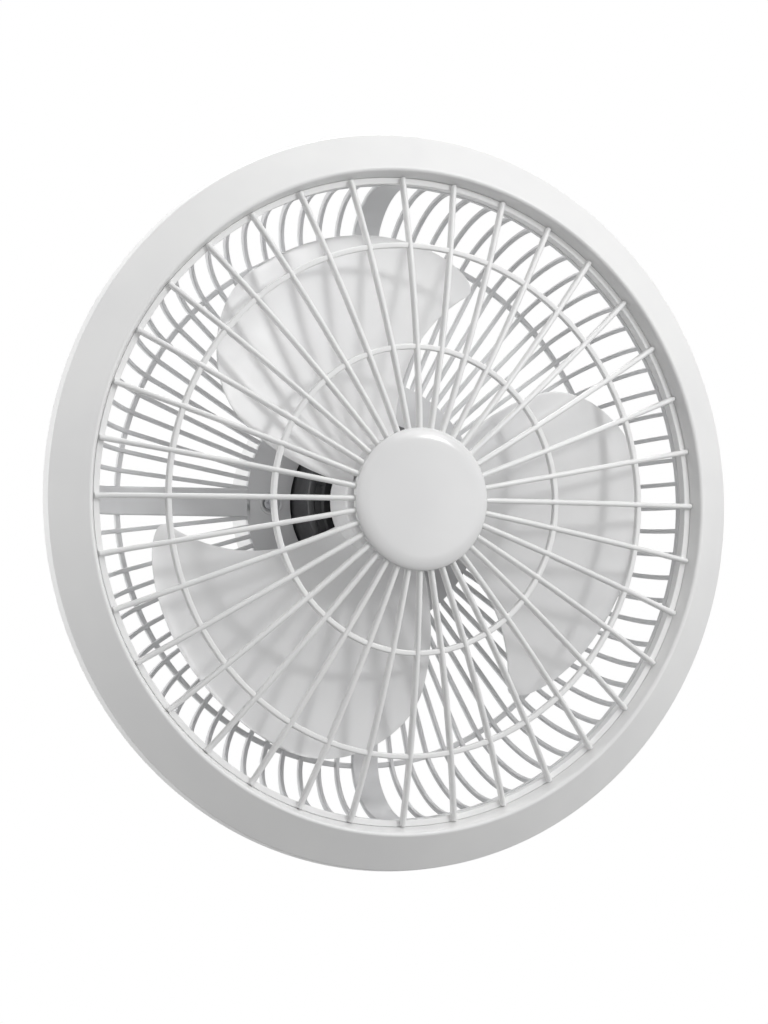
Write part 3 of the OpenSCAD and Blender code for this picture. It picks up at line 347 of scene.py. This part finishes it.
def add_front_guard():
    bm = bmesh.new()
    add_ribs(bm)
    for r in HOOP_RADII:
        top = dome_height(r) - HOOP_SINK
        sides = [(r - HOOP_W / 2, top), (r + HOOP_W / 2, top), (r + HOOP_W / 2, top - HOOP_T),
                 (r - HOOP_W / 2, top - HOOP_T)]
        revolve(bm, rounded(sides, [HOOP_ROUND, HOOP_ROUND, 0.5, 0.5], 5))
    top = dome_height(RIB_START_R)
    hole_r = PLUG_R + GAP
    disc = [(hole_r, top), (DISC_R, top), (DISC_R, top - DISC_T), (hole_r, top - DISC_T)]
    revolve(bm, rounded(disc, [0, 0.5, 0.5, 0], 4), 240)
    rim = [(RIM_R, RIM_Z), (RIM_OUT_R, RIM_Z),
           (RIM_OUT_R, FLANGE_TOP_Z), (FLANGE_R, FLANGE_TOP_Z),
           (FLANGE_R, FLANGE_LOW_Z), (RIM_OUT_R, FLANGE_LOW_Z),
           (RIM_OUT_R, SKIRT_LOW_Z), (RIM_R, SKIRT_LOW_Z)]
    revolve(bm, rounded(rim, [0.5, 0.3, 0, 0.4, 0.4, 0, 0.4, 0.4], 4))
    return add_piece("front_guard_skin", bm, "fan_head", "white_plastic", "front_guard")


# ---- Round cap: a slightly crowned face with a sloping shoulder, hollow behind, with its plug ----

AXIS_R = 0.02


def cap_height(r):
    """The cap's front: a faint crown, and a quarter ellipse over the shoulder."""
    out = max(0.0, 1 - (CAP_R - r) / CAP_SHOULDER_W)
    drop = CAP_T - CAP_EDGE_H - CAP_CROWN
    return CAP_BASE_Z + CAP_T - CAP_CROWN * (r / CAP_R) ** 2 - drop * (1 - math.sqrt(max(0.0, 1 - out ** 2)))


def add_front_cap():
    flat_r = CAP_R - CAP_SHOULDER_W
    face = [flat_r * k / 16 for k in range(17)]
    face += [flat_r + CAP_SHOULDER_W * math.sin(math.radians(90 * k / 20)) for k in range(1, 21)]
    ceiling = CAP_BASE_Z + CAP_T - CAP_WALL - CAP_CROWN
    plug_low = CAP_BASE_Z - DISC_T
    plug_in_r = PLUG_R - CAP_WALL
    under = [(CAP_R - 0.3, CAP_BASE_Z), (CAP_R - CAP_WALL, CAP_BASE_Z), (flat_r - CAP_WALL, ceiling),
             (PLUG_R, ceiling), (PLUG_R, plug_low), (plug_in_r, plug_low), (plug_in_r, ceiling)]
    bm = bmesh.new()
    outline = [(max(r, AXIS_R), cap_height(r)) for r in face] + under + [(AXIS_R, ceiling)]
    revolve(bm, outline, 256)
    # The cap takes its own copy of the white plastic, made darker as painted shade and glossier.
    return add_piece("front_cap_skin", bm, "fan_head", "white_plastic", "front_cap", "shaded_cap_plastic")


# ---- Trim ring: the wide sloping ring, with the four screw bosses behind it ----


def ring_face(r):
    fall = (RING_SHOULDER_Z - RING_FRONT_Z) / (RING_SLOPE_R - RING_MOUTH_R)
    return RING_FRONT_Z + fall * (r - RING_MOUTH_R)


def ring_under(r):
    run, fall = RING_SLOPE_R - RING_MOUTH_R, RING_SHOULDER_Z - RING_FRONT_Z
    return ring_face(r) - RING_WALL * math.hypot(run, fall) / run


def add_boss(bm, turn):
    """A tube that stands under the ring; its top follows the ring's slope, sunk in the wall."""
    steps = 48
    sides = []
    for radius, upward in ((RING_BOSS_BORE_R, False), (RING_BOSS_R, True)):
        column = []
        for i in range(steps):
            a = 2 * math.pi * i / steps
            x, y = RING_SCREW_R + radius * math.cos(a), radius * math.sin(a)
            column.append((x, y, ring_under(math.hypot(x, y)) + RING_WALL / 2))
        sides.append(column)
    spin = Matrix.Rotation(math.radians(turn), 3, "Z")
    rings = []
    for k in range(steps):
        (x0, y0, top0), (x1, y1, top1) = sides[0][k], sides[1][k]
        ring = [(x0, y0, RING_BOSS_LOW_Z), (x1, y1, RING_BOSS_LOW_Z), (x1, y1, top1), (x0, y0, top0)]
        rings.append([spin @ Vector(p) for p in ring])
    skin(bm, rings, closed=True)


def add_trim_ring():
    in_r, out_r = RING_MOUTH_R + RING_WALL, RING_R - RING_WALL
    points = [(RING_LIP_R, RING_LIP_Z), (RING_MOUTH_R, RING_FRONT_Z), (RING_SLOPE_R, RING_SHOULDER_Z),
              (RING_R, RING_REAR_Z), (out_r, RING_REAR_Z),
              (out_r, ring_under(out_r)), (in_r, ring_under(in_r)), (RING_LIP_R + RING_WALL, RING_LIP_Z)]
    bm = bmesh.new()
    revolve(bm, rounded(points, [0.3, 2.0, 0.9, 0.7, 0.4, 0.6, 0.6, 0.3], 8), 480)
    for turn in RING_SCREW_TURNS:
        add_boss(bm, turn)
    return add_piece("trim_ring_skin", bm, "fan_head", "white_plastic", "trim_ring")


# ---- Rear guard: hub plate with its screw recesses, ribs and three struts that bend up to the rim ----

SIDE_STATIONS = 28


def arc_centre(a, b, radius):
    """Centre of the arc from a to b that lies on the axis's side."""
    middle, along = (Vector(a) + Vector(b)) / 2, Vector(b) - Vector(a)
    aside = Vector((along.y, -along.x)).normalized()
    return middle + aside * math.sqrt(radius ** 2 - (along.length / 2) ** 2)


SIDE_CENTRE = arc_centre(SIDE_TOP, SIDE_LOW, SIDE_R)


def side_line(root, z, radius, bend):
    """One face of a bar: along the floor at z, round the bend and up the side's curve."""
    floor_turn = math.asin((z - SIDE_CENTRE.y) / radius)
    rim_turn = math.atan2(SIDE_TOP[1] - SIDE_CENTRE.y, SIDE_TOP[0] - SIDE_CENTRE.x)
    start = floor_turn + math.radians(BEND_TURN)
    turns = [floor_turn] + [start + (rim_turn - start) * i / SIDE_STATIONS for i in range(SIDE_STATIONS + 1)]
    curve = [SIDE_CENTRE + radius * Vector((math.cos(a), math.sin(a))) for a in turns]
    return rounded([(root, z)] + curve, [0, bend] + [0] * (SIDE_STATIONS + 1), 8)


def bar_rings(root, z, thick, width, corner):
    """Sections of a bar with rounded corners, from its root to the rim."""
    front = side_line(root, z, SIDE_R - thick, BEND_R)
    back = side_line(root, z - thick, SIDE_R, BEND_R + thick)
    half = width / 2
    section = rounded([(-half, 0), (half, 0), (half, thick), (-half, thick)], [corner] * 4, 4)
    rings = []
    for (r0, z0), (r1, z1) in zip(front, back):
        deep = [(across, d / thick) for across, d in section]
        rings.append([(r0 + (r1 - r0) * d, across, z0 + (z1 - z0) * d) for across, d in deep])
    return rings


def spread(start, end, count):
    return [start + (end - start) * i / (count - 1) for i in range(count)]


def add_rear_guard():
    bm = bmesh.new()
    rib_turns = (
        spread(STRUT_CLEAR - 90, 90 - STRUT_CLEAR, 2 * REAR_RIBS + 1)
        + spread(90 + STRUT_CLEAR, 180 - STRUT_CLEAR, REAR_RIBS)
        + spread(180 + STRUT_CLEAR, 270 - STRUT_CLEAR, REAR_RIBS)
    )
    rib = bar_rings(REAR_RIB_ROOT_R, REAR_RIB_Z, REAR_RIB_T, REAR_RIB_W, REAR_RIB_ROUND)
    strut = bar_rings(STRUT_ROOT_R, PLATE_Z, STRUT_T, STRUT_W, STRUT_ROUND)
    thin = [(x, y, REAR_RIB_Z - (REAR_RIB_Z - z) * ROOT_THIN) for x, y, z in rib[0]]
    root = [[(PLATE_R + out, y, z) for _, y, z in thin] for out in (-1, 0.6)]
    for turns, rings in ((rib_turns, root + rib), (STRUT_TURNS, strut)):
        for turn in turns:
            spin = Matrix.Rotation(math.radians(turn), 3, "Z")
            skin(bm, [[spin @ Vector(p) for p in ring] for ring in rings])
    in_r, out_r = REAR_HOOP_R - REAR_HOOP_W / 2, REAR_HOOP_R + REAR_HOOP_W / 2
    low = REAR_HOOP_Z - REAR_HOOP_T
    hoop = [(in_r, REAR_HOOP_Z), (out_r, REAR_HOOP_Z), (out_r, low), (in_r, low)]
    revolve(bm, rounded(hoop, [REAR_HOOP_ROUND] * 4, 5))
    rim = [(REAR_RIM_IN_R, REAR_RIM_Z), (REAR_LIP_IN_R, REAR_RIM_Z), (REAR_LIP_IN_R, REAR_LIP_Z),
           (FLANGE_R, REAR_LIP_Z), (FLANGE_R, REAR_RIM_LOW_Z), (REAR_RIM_IN_R, REAR_RIM_LOW_Z)]
    revolve(bm, rounded(rim, [0.5, 0, 0.3, 0.4, 0.5, 0.5], 4))
    bosses = [at(BOSS_AT_R, turn, 0)[:2] for turn in BOSS_TURNS]
    holes = [circle(MOTOR_HOLE_R, steps=192)] + [circle((RECESS_R + RECESS_LIP_R) / 2, c) for c in bosses]
    slab(bm, [circle(PLATE_R, steps=240)] + holes, PLATE_Z, PLATE_Z - PLATE_T)
    plate_middle = PLATE_Z - PLATE_T / 2
    boss = [(BOSS_BORE_R, BOSS_LOW_Z), (BOSS_R, BOSS_LOW_Z), (BOSS_R, plate_middle),
            (RECESS_LIP_R, plate_middle), (RECESS_LIP_R, RECESS_LIP_Z), (RECESS_R, RECESS_LIP_Z),
            (RECESS_R, RECESS_FLOOR_Z), (BOSS_BORE_R, RECESS_FLOOR_Z)]
    for centre in bosses:
        revolve(bm, rounded(boss, [0.2, 0.6, 0, 0, 0.3, 0.3, 0.4, 0.2], 4), 64, centre)
    for turn in RING_SCREW_TURNS:
        a = math.radians(turn)
        start, end, side = FLANGE_R - 2, RING_SCREW_R + EAR_END, EAR_W / 2
        corners = [(start, -side), (end, -side), (end, side), (start, side)]
        plan = rounded(corners, [0, EAR_ROUND, EAR_ROUND, 0], 8)
        loops = [plan, circle(EAR_BORE_R, (RING_SCREW_R, 0), 32)]
        loops = [[(x * math.cos(a) - y * math.sin(a), x * math.sin(a) + y * math.cos(a)) for x, y in loop]
                 for loop in loops]
        slab(bm, loops, REAR_RIM_LOW_Z + EAR_T, REAR_RIM_LOW_Z)
    return add_piece("rear_guard_skin", bm, "fan_head", "guard_plastic", "rear_guard")


# ---- Propeller: three scimitar blades that grow out of the hub, with round edges ----

SPAN_STEPS = 64
CHORD_STEPS = 44


def blade_edge(edge, r):
    """Angle of the leading or trailing edge at a radius; near the tip both run to the middle."""
    start = TIP_R * edge["round_r"]
    inward = max(0.0, (r - edge["from"]) / (start - edge["from"]))
    angle = edge["root"] + edge["sweep"] * inward ** 1.5
    if r <= start:
        return angle
    left = max(0.0, 1 - ((r - start) / (TIP_R - start)) ** edge["power"]) ** (1 / edge["power"])
    return TIP_MID + (angle - TIP_MID) * left


def blade_ring(r):
    """One closed section round the blade at a radius, with half-round leading, trailing and tip edges."""
    lead, trail = blade_edge(LEAD, r), blade_edge(TRAIL, r)
    out = (r - ROOT_R) / (TIP_R - ROOT_R)
    chord = math.radians(trail - lead) * r
    upper, lower = [], []
    for j in range(CHORD_STEPS + 1):
        s = 0.5 - 0.5 * math.cos(math.pi * j / CHORD_STEPS)
        a = lead + (trail - lead) * s
        middle = BLADE_MID_Z + BLADE_RISE * math.radians(a) - BLADE_CAMBER * math.sin(math.pi * s) * out
        half = BLADE_T / 2 * (0.35 + 0.65 * math.sin(math.pi * s)) * (1.25 - 0.6 * out)
        half += BLADE_FILLET_T * max(0.0, 1 - (r - HUB_R) / BLADE_FILLET_R) ** 3
        from_edge = min(1.0, min(s * chord, (1 - s) * chord, TIP_R - r) / BLADE_EDGE)
        half *= math.sqrt(max(0.0, 1 - (1 - from_edge) ** 2))
        upper.append(at(r, a + BLADE_TURN, middle + half))
        lower.append(at(r, a + BLADE_TURN, middle - half))
    return upper + lower[-2:0:-1]


def add_propeller():
    bm = bmesh.new()
    radii = [ROOT_R + (TIP_R - 0.03 - ROOT_R) * math.sin(math.pi / 2 * (i / SPAN_STEPS) ** 0.8)
             for i in range(SPAN_STEPS + 1)]
    rings = [blade_ring(r) for r in radii]
    for i in range(BLADES):
        spin = Matrix.Rotation(math.radians(360 * i / BLADES), 3, "Z")
        skin(bm, [[spin @ p for p in ring] for ring in rings])
    hub_in_r, face_low = HUB_R - HUB_WALL, HUB_FRONT_Z - HUB_FACE_T
    hub = [(CORE_BORE_R, HUB_FRONT_Z), (HUB_R, HUB_FRONT_Z), (HUB_R, HUB_REAR_Z), (hub_in_r, HUB_REAR_Z),
           (hub_in_r, face_low), (CORE_R, face_low), (CORE_R, CORE_REAR_Z), (CORE_BORE_R, CORE_REAR_Z)]
    revolve(bm, rounded(hub, [0, HUB_ROUND, 0.6, 0.6, 1, 1, 0.4, 0], 8), 256)
    return add_piece("propeller_skin", bm, "rotor", "blade_plastic", "propeller")


# ---- Materials ----


class Maker:
    """Node material with colour variation, uneven roughness, fine grain and worn, softened edges."""

    def __init__(self, name):
        self.material = bpy.data.materials.new(name)
        self.material.use_nodes = True
        self.tree = self.material.node_tree
        self.shader = self.tree.nodes["Principled BSDF"]
        self.where = self.add("ShaderNodeTexCoord").outputs["Object"]

    def add(self, kind, **settings):
        node = self.tree.nodes.new(kind)
        for key, value in settings.items():
            setattr(node, key, value)
        return node

    def link(self, source, target):
        self.tree.links.new(source, target)

    def noise(self, size_mm, detail=2.0, roughness=0.5, where=None):
        """Noise whose patches are about size_mm across."""
        node = self.add("ShaderNodeTexNoise")
        node.inputs["Scale"].default_value = 1000 / size_mm
        node.inputs["Detail"].default_value = detail
        node.inputs["Roughness"].default_value = roughness
        self.link(where or self.where, node.inputs["Vector"])
        return node.outputs["Fac"]

    def spread(self, value, low, high, source_low=0.3, source_high=0.7):
        node = self.add("ShaderNodeMapRange")
        node.inputs["From Min"].default_value = source_low
        node.inputs["From Max"].default_value = source_high
        node.inputs["To Min"].default_value = low
        node.inputs["To Max"].default_value = high
        self.link(value, node.inputs["Value"])
        return node.outputs["Result"]

    def tint(self, mask, base, colour):
        """base where the mask is 0 and colour where it is 1; base may be a colour or a socket."""
        node = self.add("ShaderNodeMix", data_type="RGBA")
        if isinstance(base, tuple):
            node.inputs["A"].default_value = (*base, 1)
        else:
            self.link(base, node.inputs["A"])
        node.inputs["B"].default_value = (*colour, 1)
        self.link(mask, node.inputs["Factor"])
        return node.outputs["Result"]

    def edges(self, radius_mm):
        """Softened normal, and a mask that is 1 along the edges."""
        bevel = self.add("ShaderNodeBevel", samples=6)
        bevel.inputs["Radius"].default_value = radius_mm * MM
        flat = self.add("ShaderNodeNewGeometry")
        dot = self.add("ShaderNodeVectorMath", operation="DOT_PRODUCT")
        self.link(bevel.outputs["Normal"], dot.inputs[0])
        self.link(flat.outputs["Normal"], dot.inputs[1])
        return bevel.outputs["Normal"], self.spread(dot.outputs["Value"], 1.0, 0.0, 0.80, 0.985)

    def bump(self, height, depth_mm, normal, strength=1.0):
        node = self.add("ShaderNodeBump")
        node.inputs["Strength"].default_value = strength
        node.inputs["Distance"].default_value = depth_mm * MM
        self.link(height, node.inputs["Height"])
        self.link(normal, node.inputs["Normal"])
        return node.outputs["Normal"]

    def finish(self, colour, roughness, normal, metallic=0.0):
        self.link(colour, self.shader.inputs["Base Color"])
        self.link(roughness, self.shader.inputs["Roughness"])
        self.link(normal, self.shader.inputs["Normal"])
        self.shader.inputs["Metallic"].default_value = metallic
        return self.material


EDGE_RADIUS = 0.35
WAVE_SIZE = 14
RUB_SIZE = 3


def surface(name, light, dark, roughness, patch=40, grain=0.5, grain_depth=0.006, wave_depth=0.02,
            edge_colour=None, metallic=0.0):
    """A moulded, painted or cast surface: colour drifts over patches, and the edges are rubbed."""
    make = Maker(name)
    soft, rubbed = make.edges(EDGE_RADIUS)
    colour = make.tint(make.spread(make.noise(patch), 0, 1), light, dark)
    if edge_colour:
        broken = make.add("ShaderNodeMath", operation="MULTIPLY")
        make.link(rubbed, broken.inputs[0])
        make.link(make.spread(make.noise(RUB_SIZE, 3), 0.25, 1.0), broken.inputs[1])
        colour = make.tint(broken.outputs[0], colour, edge_colour)
    low, high = roughness
    worn = make.spread(make.noise(patch / 4, 4), low, high)
    wavy = make.bump(make.noise(WAVE_SIZE, 1), wave_depth, soft, 0.6)
    fine = make.bump(make.noise(grain, 3, 0.6), grain_depth, wavy, 0.8)
    return make.finish(colour, worn, fine, metallic)


def make_materials():
    """Each material's light and dark colours, its range of roughness and what is special to it."""
    rows = {
        "white_plastic": ((0.84, 0.84, 0.835), (0.80, 0.80, 0.80), (0.30, 0.40),
                          {"edge_colour": (0.88, 0.88, 0.88)}),
        "guard_plastic": ((0.70, 0.705, 0.71), (0.66, 0.66, 0.67), (0.34, 0.44),
                          {"edge_colour": (0.80, 0.80, 0.80)}),
        # The cap's material: the white plastic made darker as painted shade, and glossier.
        "shaded_cap_plastic": ((0.785, 0.785, 0.785), (0.755, 0.755, 0.758), (0.17, 0.24),
                        {"wave_depth": 0.006, "edge_colour": (0.83, 0.83, 0.83)}),
        "blade_plastic": ((0.82, 0.82, 0.82), (0.785, 0.785, 0.79), (0.30, 0.40),
                          {"patch": 70, "edge_colour": (0.88, 0.88, 0.88)}),
        "zinc_steel": ((0.62, 0.63, 0.65), (0.50, 0.51, 0.54), (0.25, 0.42),
                       {"patch": 8, "edge_colour": (0.75, 0.75, 0.76), "metallic": 1.0}),
        "lamination_steel": ((0.40, 0.40, 0.42), (0.30, 0.30, 0.31), (0.4, 0.55),
                             {"patch": 10, "metallic": 1.0}),
        "motor_enamel": ((0.040, 0.040, 0.043), (0.028, 0.028, 0.03), (0.30, 0.45),
                         {"patch": 25, "edge_colour": (0.11, 0.11, 0.115)}),
        "white_enamel": ((0.80, 0.80, 0.80), (0.75, 0.75, 0.76), (0.3, 0.42),
                         {"grain": 1.2, "grain_depth": 0.02, "edge_colour": (0.66, 0.66, 0.66)}),
        "cast_alloy": ((0.55, 0.56, 0.58), (0.42, 0.43, 0.45), (0.42, 0.6),
                       {"patch": 12, "grain": 0.8, "grain_depth": 0.03,
                        "edge_colour": (0.68, 0.68, 0.7), "metallic": 1.0}),
        "bush_brass": ((0.70, 0.52, 0.22), (0.55, 0.39, 0.15), (0.25, 0.4),
                       {"patch": 9, "edge_colour": (0.82, 0.66, 0.34), "metallic": 1.0}),
        "winding_copper": ((0.50, 0.20, 0.08), (0.36, 0.13, 0.05), (0.25, 0.4),
                           {"patch": 7, "metallic": 1.0}),
        "gear_nylon": ((0.76, 0.72, 0.60), (0.68, 0.63, 0.50), (0.4, 0.52),
                       {"patch": 15, "edge_colour": (0.82, 0.79, 0.70)}),
        "dark_plastic": ((0.035, 0.035, 0.038), (0.022, 0.022, 0.024), (0.42, 0.58),
                         {"grain": 0.9, "grain_depth": 0.03, "edge_colour": (0.09, 0.09, 0.095)}),
        "friction_fibre": ((0.11, 0.09, 0.07), (0.06, 0.05, 0.045), (0.8, 0.95),
                           {"patch": 4, "grain": 0.6, "grain_depth": 0.06}),
    }
    return {name: surface(name, *looks, **more) for name, (*looks, more) in rows.items()}


# ---- Camera: stands below and to one side of the head's axis, as the photograph's did ----

CAMERA_YAW = -23.14
CAMERA_PITCH = 2.38
CAMERA_DISTANCE = 2.0938
CAMERA_SIDE = -0.0155
CAMERA_RISE = -0.0067
LENS = 130.0
SENSOR = 36.0


def make_camera():
    data = bpy.data.cameras.new("camera")
    data.lens = LENS
    data.sensor_width = SENSOR
    data.sensor_fit = "AUTO"
    data.clip_start, data.clip_end = 0.05, 50
    camera = bpy.data.objects.new("camera", data)
    bpy.context.scene.collection.objects.link(camera)
    camera.matrix_world = (
        HEAD
        @ Matrix.Rotation(math.radians(CAMERA_YAW), 4, "Y")
        @ Matrix.Rotation(math.radians(CAMERA_PITCH), 4, "X")
        @ Matrix.Translation((CAMERA_SIDE, CAMERA_RISE, CAMERA_DISTANCE))
    )
    bpy.context.scene.camera = camera


# ---- Studio: white surroundings, a pale floor far below, a small key and seven soft lamps ----

FLOOR_Z = -3.6
FLOOR_SIZE = 30
FLOOR_COLOUR = (0.85, 0.85, 0.85, 1)
AMBIENT = 0.235


def show_white(tree, output, seen_light, lit):
    """Camera, glossy and transmission rays see plain white; every other ray sees what is lit."""
    path = tree.nodes.new("ShaderNodeLightPath")
    either = tree.nodes.new("ShaderNodeMath")
    either.operation = "MAXIMUM"
    tree.links.new(path.outputs["Is Camera Ray"], either.inputs[0])
    tree.links.new(path.outputs["Is Glossy Ray"], either.inputs[1])
    any_of = tree.nodes.new("ShaderNodeMath")
    any_of.operation = "MAXIMUM"
    tree.links.new(either.outputs[0], any_of.inputs[0])
    tree.links.new(path.outputs["Is Transmission Ray"], any_of.inputs[1])
    mix = tree.nodes.new("ShaderNodeMixShader")
    tree.links.new(any_of.outputs[0], mix.inputs["Fac"])
    tree.links.new(lit, mix.inputs[1])
    tree.links.new(seen_light, mix.inputs[2])
    tree.links.new(mix.outputs[0], output.inputs["Surface"])


def make_world():
    world = bpy.data.worlds.new("surroundings")
    world.use_nodes = True
    tree = world.node_tree
    tree.nodes.clear()
    seen = tree.nodes.new("ShaderNodeBackground")
    seen.inputs["Color"].default_value = (1, 1, 1, 1)
    lit = tree.nodes.new("ShaderNodeBackground")
    lit.inputs["Color"].default_value = (1, 1, 1, 1)
    lit.inputs["Strength"].default_value = AMBIENT
    output = tree.nodes.new("ShaderNodeOutputWorld")
    show_white(tree, output, seen.outputs[0], lit.outputs[0])
    bpy.context.scene.world = world


def make_floor():
    half = FLOOR_SIZE / 2
    mesh = bpy.data.meshes.new("floor")
    corners = [(-half, -half), (half, -half), (half, half), (-half, half)]
    mesh.from_pydata([(x, y, FLOOR_Z) for x, y in corners], [], [(0, 1, 2, 3)])
    floor = bpy.data.objects.new("floor", mesh)
    bpy.context.scene.collection.objects.link(floor)
    material = bpy.data.materials.new("floor")
    material.use_nodes = True
    tree = material.node_tree
    tree.nodes.clear()
    matt = tree.nodes.new("ShaderNodeBsdfDiffuse")
    matt.inputs["Color"].default_value = FLOOR_COLOUR
    seen = tree.nodes.new("ShaderNodeEmission")
    output = tree.nodes.new("ShaderNodeOutputMaterial")
    show_white(tree, output, seen.outputs[0], matt.outputs[0])
    mesh.materials.append(material)


LAMP_TARGET = (-0.05, 0, -0.2)
SOFT = 1.4


def lamp(name, place, size, watts):
    """A square area lamp at place, in metres, turned to the fan's head."""
    data = bpy.data.lights.new(name, "AREA")
    data.shape = "SQUARE"
    data.size = size
    data.energy = watts
    light = bpy.data.objects.new(name, data)
    bpy.context.scene.collection.objects.link(light)
    light.location = place
    light.rotation_mode = "QUATERNION"
    light.rotation_quaternion = (Vector(LAMP_TARGET) - Vector(place)).to_track_quat("-Z", "Y")


def make_lamps():
    """The key draws the ribs' shadows on the blades, and the cap mirrors the panel."""
    lamp("key", (-1.961, 1.069, -1.602), 0.32, 14)
    lamp("sky", (-1.6, 1.766, -1.313), SOFT, 20)
    lamp("top_fill", (-0.049, 2.553, -0.692), SOFT, 10)
    lamp("left_fill", (2.525, 0.247, -0.462), SOFT, 42)
    lamp("right_fill", (-2.624, 0.247, -0.474), SOFT, 7)
    lamp("front_fill", (-0.044, 0.525, -2.746), SOFT, 5)
    lamp("panel", (-2.20, 0.044, -1.661), 0.9, 5)
    lamp("back", (-0.054, 2.096, 1.338), SOFT, 48)


bpy.context.scene.view_settings.view_transform = "Standard"
make_camera()
make_world()
make_floor()
make_lamps()
materials = make_materials()
for row in frame["record"]["subparts"]:
    node = frame["nodes"][row["node"]]
    node.data.materials.clear()
    node.data.materials.append(materials[row["material_slot"]])
add_front_guard()
add_front_cap()
add_trim_ring()
add_rear_guard()
add_propeller()
